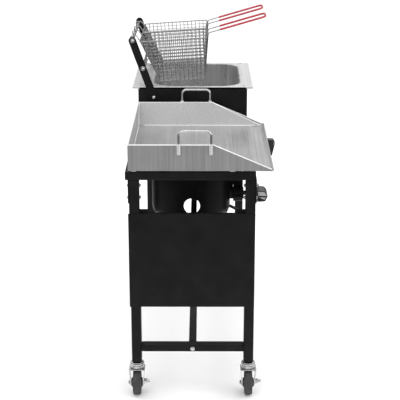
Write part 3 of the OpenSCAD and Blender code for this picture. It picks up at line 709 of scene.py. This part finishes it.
def basket_turn(node):
    low, high = mm_box(node)
    middle = (low.x + high.x) / 2
    turned = Matrix.Rotation(math.pi, 4, "Z") @ Matrix.Rotation(TILT, 4, "X")
    return Matrix.Translation((middle, *RIM_BACK)) @ turned


def wall_y(z):
    """Back and front wall of the basket at a depth."""
    t = -z / BASKET["depth"]
    return BASKET["back_in"] * t, BASKET["length"] - BASKET["front_in"] * t


def basket_rows(shape, half, in_by, d):
    depth = BASKET["depth"]
    count = 12
    for k in range(1, count + 1):
        z = -depth * k / count
        y0, y1 = wall_y(z)
        loop = rounded_rectangle(-half + in_by, y0 + in_by, half - in_by, y1 - in_by, z, 8, 3)
        shape.tube(loop, d, 6, True)


def basket_mesh(node, body):
    half = BASKET["width"] / 2 - 2
    depth, length = BASKET["depth"], BASKET["length"]
    shape = Shape(basket_turn(node))
    basket_rows(shape, half, MESH_D, MESH_D)
    count = 16
    for k in range(1, count):
        y = length * k / count
        foot = -depth
        if y < BASKET["back_in"]:
            foot = -depth * y / BASKET["back_in"]
        if y > length - BASKET["front_in"]:
            foot = -depth * (length - y) / BASKET["front_in"]
        line = [(-half, y, 0), (-half, y, foot), (half, y, foot), (half, y, 0)]
        shape.tube(rounded(line, 8, 4), MESH_D, 6)
    count = 13
    for k in range(1, count):
        x = -half + 2 * half * k / count
        line = [(x, 0, 0), (x, BASKET["back_in"], -depth), (x, length - BASKET["front_in"], -depth),
                (x, length, 0)]
        shape.tube(rounded(line, 8, 4), MESH_D, 6)
    shape.done(node + "_wires", WIRE, body, [node])


def basket_frame(node, body):
    half = BASKET["width"] / 2 - 1
    depth, length = BASKET["depth"], BASKET["length"]
    shape = Shape(basket_turn(node))
    shape.tube(rounded_rectangle(-half, -0.5, half, length + 0.5, 0, 12, 6), FRAME_D, 12, True)
    for x in (-62, 62):
        hook = [(x, -3, 0), (x, -12, 17.3), (x, -34, 17.3), (x, -34, -6)]
        shape.tube(rounded(hook, 5, 6), 3.8, 12)
    stop = [(-62, 37, -93), (-62, 12.7, -93), (62, 12.7, -93), (62, 37, -93)]
    shape.tube(rounded(stop, 5, 6), 3.8, 12)
    side = HANDLE_GAP / 2
    for x in (-side, side):
        tip = (x, HANDLE_ROOT + (BARE + 12) * math.cos(RISE), 7 + (BARE + 12) * math.sin(RISE))
        line = [(x, 227.5, -143), (x, HANDLE_ROOT, 7), tip]
        shape.tube(rounded(line, 9, 8), FRAME_D, 12)
    shape.tube([(-side, length + 3.4, -2), (side, length + 3.4, -2)], 3.4, 12)
    shape.tube([(-side, length - 14.6, -138), (side, length - 14.6, -138)], 3.4, 12)
    shape.done(node + "_frame", WIRE, body, [node])


def basket_grip(node, body, mesh_node):
    shape = Shape(basket_turn(mesh_node))
    side = HANDLE_GAP / 2
    root = Vector((0, HANDLE_ROOT, 7))
    way = Vector((0, math.cos(RISE), math.sin(RISE)))
    corners = [(side, BARE), (side, HANDLE), (-side, HANDLE), (-side, BARE)]
    line = [root + way * t + Vector((x, 0, 0)) for x, t in corners]
    for start in (line[0], line[-1]):
        shape.lathe(start, way, [(0, 0), (0, 2.5), (0.7, 3.4), (1.8, 3.8), (3, 3.7), (3, 0)], 16)
    line[0] = line[0] + way * 2
    line[-1] = line[-1] + way * 2
    shape.tube(rounded(line, HANDLE_CORNER, 9), GRIP_D, 16)
    shape.done(node + "_loop", VINYL, body, [node])


for end in ("near", "far"):
    body = f"basket_{end}"
    basket_mesh(f"basket_{end}_mesh", body)
    basket_frame(f"basket_{end}_wires", body)
    basket_grip(f"basket_{end}_grip", body, f"basket_{end}_mesh")

# ---- knobs ----

KNOB_Z = {"griddle_knob": 606.0, "fryer_knob": 613.0}


def knob_place(node):
    """Middle of the knob at its back face, its skirt's radius and how far it stands out."""
    low, high = mm_box(node)
    return Vector(((low.x + high.x) / 2, high.y, KNOB_Z[node])), (high.x - low.x) / 2, high.y - low.y


def knob_skirt(shape, r):
    shape.lathe((0, 0, 0), (0, -1, 0), [(0, 0), (0, r - 2), (1, r - 0.6), (4, r), (12, r - 1.2),
                                        (14.5, r - 3),
                                        (15.5, r - 6), (15.5, 0)], 48)


def griddle_knob():
    """Thick bar grip along the cart with a blunt ridge; light grey plates on its ends are a painted highlight
    of its lit top facet and a lower streak.
    """
    place, r, out = knob_place("griddle_knob")
    shape = Shape(Matrix.Translation(place))
    knob_skirt(shape, r)
    reach = r - 2
    bar = [(-13, -24), (-13, 16), (-out + 12, 15), (-out + 4, 8), (-out, -4), (-out + 8, -22)]
    shape.prism([(-reach, y, z) for y, z in bar], (2 * reach, 0, 0), 2.2, 3)
    shape.done("griddle_knob_body", KNOB, "griddle_knob", ["griddle_knob"])
    shape = Shape(Matrix.Translation(place))
    # The upper plate paints the lit top facet, the lower plate a highlight streak.
    upper = [(-12, 12.5), (-out + 13, 12), (-out + 6.5, 6), (-out + 3.5, -2), (-12, -1)]
    lower = [(-14, -6), (-out + 7, -8), (-out + 11, -15)]
    for x in (-reach - 0.4, reach):
        shape.prism([(x, y, z) for y, z in upper], (0.4, 0, 0), 0.1)
        shape.prism([(x, y, z) for y, z in lower], (0.4, 0, 0), 0.1)
    shape.done("griddle_knob_highlight_plates", KNOB_HIGHLIGHT, "griddle_knob", [])


def fryer_knob():
    """Upright pointer grip that stands out furthest near its top, with a plated ring round the skirt."""
    place, r, out = knob_place("fryer_knob")
    shape = Shape(Matrix.Translation(place))
    knob_skirt(shape, r)
    bar = [(-13, -33), (-13, 33), (-out + 6, 31), (-out, 24), (-out, 12), (-out + 10, -33)]
    shape.prism([(-16, y, z) for y, z in bar], (32, 0, 0), 3, 4)
    shape.done("fryer_knob_body", KNOB, "fryer_knob", ["fryer_knob"])
    shape = Shape(Matrix.Translation(place))
    turn = [math.radians(6 * k) for k in range(60)]
    shape.tube([((r - 2.2) * math.cos(a), -14.6, (r - 2.2) * math.sin(a)) for a in turn], 2.0, 8, True)
    arc = [math.radians(10 * k) for k in range(-2, 21)]
    shape.tube([(17.5 * math.cos(a), -out + 4.5, 17 + 13 * math.sin(a)) for a in arc], 2.2, 8)
    shape.done("fryer_knob_ring", CHROME, "fryer_knob", [])


griddle_knob()
fryer_knob()


def knob_bezels():
    shape = Shape()
    for node, r in (("griddle_knob", 36), ("fryer_knob", 39.5)):
        place = knob_place(node)[0] + Vector((0, 5, 0))
        ring = [(0, 9), (0, r - 1.5), (0.6, r - 0.4), (2.2, r), (3.4, r - 1), (4, r - 2.5), (4, 9)]
        shape.lathe(place, (0, -1, 0), ring, 64, True)
    shape.done("knob_bezels_rings", CHROME, "cart", ["knob_bezels"])


knob_bezels()

# ---- casters ----

TRAIL, WHEEL_R = 20.0, 41.0
CROWN = 86.0
BRAKE_Y, BRAKE_Z = 29.5, 46.0


def caster_wheel(node, body):
    low, high = mm_box(node)
    x, y = (low.x + high.x) / 2, (low.y + high.y) / 2
    place = (x, y, WHEEL_R)
    shape = Shape()
    tread = [(-13, 30), (-13, 37), (-12.2, 39.4), (-10, 40.6), (-5, 41), (5, 41), (10, 40.6),
             (12.2, 39.4), (13, 37),
             (13, 30), (11, 28.5), (-11, 28.5)]
    shape.lathe(place, (0, 1, 0), tread, 72, True)
    shape.done(node + "_tyre", RUBBER, body, [node])
    shape = Shape()
    half_hub = [(18.5, 4.2), (18.5, 14.4), (17.6, 15.5), (11.5, 16), (9.6, 18), (9, 25), (10.5, 28),
                (11.2, 29.2)]
    hub = [(-t, r) for t, r in half_hub] + half_hub[::-1]
    shape.lathe(place, (0, 1, 0), hub, 48, True)
    shape.done(node + "_hub", KNOB, body, [])


def flare(z):
    """Inner face of a cheek: the fork is wider at its crown than at the axle."""
    return 19.6 + (z - WHEEL_R) * 0.085


def caster_fork(node, body, x, y):
    shape = Shape(Matrix.Translation((x, y, 0)))
    race = [(0, 6.1), (0, 22.6), (1.2, 24), (5.2, 24), (6.2, 22), (7.8, 21.4), (8.2, 23.4), (9.4, 23.5),
            (12.2, 23.3), (13, 21), (13, 6.1)]
    shape.lathe((0, 0, 92), (0, 0, 1), race, 40, True)
    shape.lathe((0, 0, CROWN), (0, 0, 1), [(0, 6.1), (0, 22.2), (1.0, 23), (3.6, 23), (6, 21.5),
                                           (6, 6.1)], 40, True)
    cheek = [(-31, CROWN + 3), (14, CROWN + 3), (12, CROWN - 6), (-TRAIL + 10.5, WHEEL_R + 3)]
    cheek += [(-TRAIL + 10.5 * math.cos(math.radians(a)), WHEEL_R + 10.5 * math.sin(math.radians(a)))
              for a in range(-10, -171, -16)]
    cheek += [(-TRAIL - 10.5, WHEEL_R + 3), (-32, CROWN - 10)]
    for side in (-1, 1):
        shape.skin([[(px, side * (flare(pz) + t), pz) for px, pz in cheek] for t in (0, 2.4)])
    edge = flare(CROWN + 3) + 2.4
    shape.box((-31, -edge, CROWN), (14, edge, CROWN + 3.2), 1.4, 3)
    shape.lathe((-TRAIL, -21.5, WHEEL_R), (0, -1, 0), [(0, 0), (0, 6), (2.4, 6), (3.3, 4.8), (3.5, 0)])
    shape.lathe((-TRAIL, 21.5, WHEEL_R), (0, 1, 0), [(0, 0), (0, 8.6), (1.6, 9), (2.0, 8.6), (2.0, 0)])
    hex_nut(shape, (-TRAIL, 23.4, WHEEL_R), (0, 1, 0), 11.5, 4.2)
    shape.lathe((-TRAIL, -20.5, WHEEL_R), (0, 1, 0), [(0, 0), (0, 4), (49.2, 4), (49.5, 0)], 16)
    for bx in (-TRAIL - 10, -TRAIL + 8):
        shape.box((bx, -BRAKE_Y - 4, BRAKE_Z - 4), (bx + 2, -21.6, BRAKE_Z + 4), 0.7)
    shape.lathe((-TRAIL - 10.4, -BRAKE_Y, BRAKE_Z), (1, 0, 0), [(0, 0), (0, 2), (20.8, 2), (20.8, 0)], 12)
    shape.done(node + "_body", ZINC, body, [node])


def caster_brake(node, body, x, y):
    shape = Shape(Matrix.Translation((x - TRAIL, y - BRAKE_Y, BRAKE_Z)))
    shape.lathe((-7.5, 0, 0), (1, 0, 0), [(0, 2.1), (0, 3.2), (0.4, 3.5), (14.6, 3.5), (15, 3.2),
                                          (15, 2.1)], 20, True)
    for tilt in (-14, 14):
        shape.turn = (Matrix.Translation((x - TRAIL, y - BRAKE_Y, BRAKE_Z))
                      @ Matrix.Rotation(math.radians(tilt), 4, "X"))
        shape.box((-6.5, -12.4, -0.8), (6.5, -2.6, 0.8), 0.5)
    shape.done(node + "_pedal", CHROME, body, [node])


def caster_stems():
    shape = Shape()
    for x, y in CASTERS.values():
        shape.lathe((x, y, 105.3), (0, 0, 1), [(0, 0), (0, 19.5), (0.8, 21), (2.8, 21), (3.9, 19),
                                               (3.9, 0)], 40)
        hex_nut(shape, (x, y, 109), (0, 0, 1), 17.3, 4)
        shape.lathe((x, y, CROWN - 2.8), (0, 0, 1),
                    [(0, 0), (0, 7.6), (0.6, 9), (2.2, 9), (2.5, 6), (40, 6), (40, 0)], 24)
    shape.done("caster_stems_set", ZINC, "cart", ["caster_stems"])


CASTERS = {}
for end in ("near", "far"):
    for side in ("front", "back"):
        wheel_low, wheel_high = mm_box(f"caster_wheel_{end}_{side}")
        CASTERS[f"{end}_{side}"] = ((wheel_low.x + wheel_high.x) / 2 + TRAIL,
                                    (wheel_low.y + wheel_high.y) / 2)
caster_stems()
for where, (stem_x, stem_y) in CASTERS.items():
    caster_wheel("caster_wheel_" + where, "wheel_" + where)
    caster_fork("caster_fork_" + where, "fork_" + where, stem_x, stem_y)
    caster_brake("caster_brake_" + where, "brake_" + where, stem_x, stem_y)

# ---- CAD nodes that stay in sight ----

KEPT = {
    BLACK: ["top_cross_bars", "control_panel", "back_panel", "fryer_control_bracket", "burner_brackets"],
    BOWL_BLACK: ["griddle_burner_bowl", "fryer_burner_bowl", "griddle_air_shutter", "fryer_air_shutter"],
    CAST: ["griddle_burner", "fryer_burner"],
    BRASS: ["gas_inlet"],
    PIPE: ["gas_manifold", "griddle_valve", "fryer_valve"],
}
for material, names in KEPT.items():
    for name in names:
        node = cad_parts[name]
        node.data.materials.clear()
        node.data.materials.append(material)

# ---- floor, light and camera ----

floor_data = bpy.data.meshes.new("floor")
reach = 40.0
floor_data.from_pydata([(-reach, -reach, 0), (reach, -reach, 0), (reach, reach, 0), (-reach, reach, 0)],
                       [], [(0, 1, 2, 3)])
floor = bpy.data.objects.new("floor", floor_data)
bpy.context.scene.collection.objects.link(floor)
paper = Nodes("floor_paper")
white = paper.mix(paper.ramp(paper.noise(900, 2), 0, 1), (0.88, 0.88, 0.88), (0.91, 0.91, 0.91))
# Painted reflection: seen only in reflections, the floor turns dark grey away from the cart and stands in for
# dark studio surroundings.
distance = paper.add("ShaderNodeVectorMath", operation="LENGTH")
paper.join(paper.place, distance.inputs[0])
reflection_dark_fade = paper.ramp(distance.outputs["Value"], 0, 1, 0.8, 2.2)
mirrored = paper.add("ShaderNodeLightPath").outputs["Is Glossy Ray"]
paper.colour(paper.mix(paper.maths("MULTIPLY", reflection_dark_fade, mirrored), white, (0.10, 0.10, 0.10)))
paper.feed("Roughness", 0.8)
floor_data.materials.append(paper.material)

world = bpy.data.worlds.new("studio")
bpy.context.scene.world = world
world.use_nodes = True
tree = world.node_tree
sky = tree.nodes.new("ShaderNodeTexCoord")
split = tree.nodes.new("ShaderNodeSeparateXYZ")
band = tree.nodes.new("ShaderNodeMapRange")
band.inputs["From Min"].default_value = 0.02
band.inputs["From Max"].default_value = 0.38
band.inputs["To Min"].default_value = 0.10
band.inputs["To Max"].default_value = 0.95
tree.links.new(sky.outputs["Generated"], split.inputs[0])
tree.links.new(split.outputs["Z"], band.inputs["Value"])
path = tree.nodes.new("ShaderNodeLightPath")
level = tree.nodes.new("ShaderNodeMix")
level.inputs[2].default_value = 1.3
tree.links.new(path.outputs["Is Glossy Ray"], level.inputs[0])
tree.links.new(band.outputs[0], level.inputs[3])
tree.links.new(level.outputs[0], tree.nodes["Background"].inputs["Strength"])
tree.nodes["Background"].inputs["Color"].default_value = (1, 1, 1, 1)


def softbox(name, place, aim, width, height, power):
    data = bpy.data.lights.new(name, "AREA")
    data.shape = "RECTANGLE"
    data.size, data.size_y = width, height
    data.energy = power
    light = bpy.data.objects.new(name, data)
    light.location = place
    light.rotation_euler = (Vector(aim) - Vector(place)).to_track_quat("-Z", "Y").to_euler()
    bpy.context.scene.collection.objects.link(light)


softbox("top_light", (0.2, 0.0, 4.2), (0, 0, 0.6), 4.0, 3.0, 40)
softbox("front_light", (-1.0, -3.6, 2.6), (0, 0, 0.7), 2.4, 2.4, 40)
softbox("end_light", (-4.2, 1.6, 2.6), (0, 0, 0.6), 2.0, 2.0, 14)

CAMERA_BACK, CAMERA_SIDE, CAMERA_HEIGHT = 3.365, -0.035, 1.7375
PITCH, DRIFT = 0.306, 0.003
camera_data = bpy.data.cameras.new("camera")
camera_data.sensor_width = 36
camera_data.lens = 100.8
camera = bpy.data.objects.new("camera", camera_data)
camera.location = (ORIGIN.x - CAMERA_BACK, ORIGIN.y + CAMERA_SIDE, CAMERA_HEIGHT)
look = Vector((math.cos(PITCH), DRIFT, -math.sin(PITCH)))
camera.rotation_euler = look.to_track_quat("-Z", "Y").to_euler()
bpy.context.scene.collection.objects.link(camera)
bpy.context.scene.camera = camera
bpy.context.scene.view_settings.view_transform = "Standard"
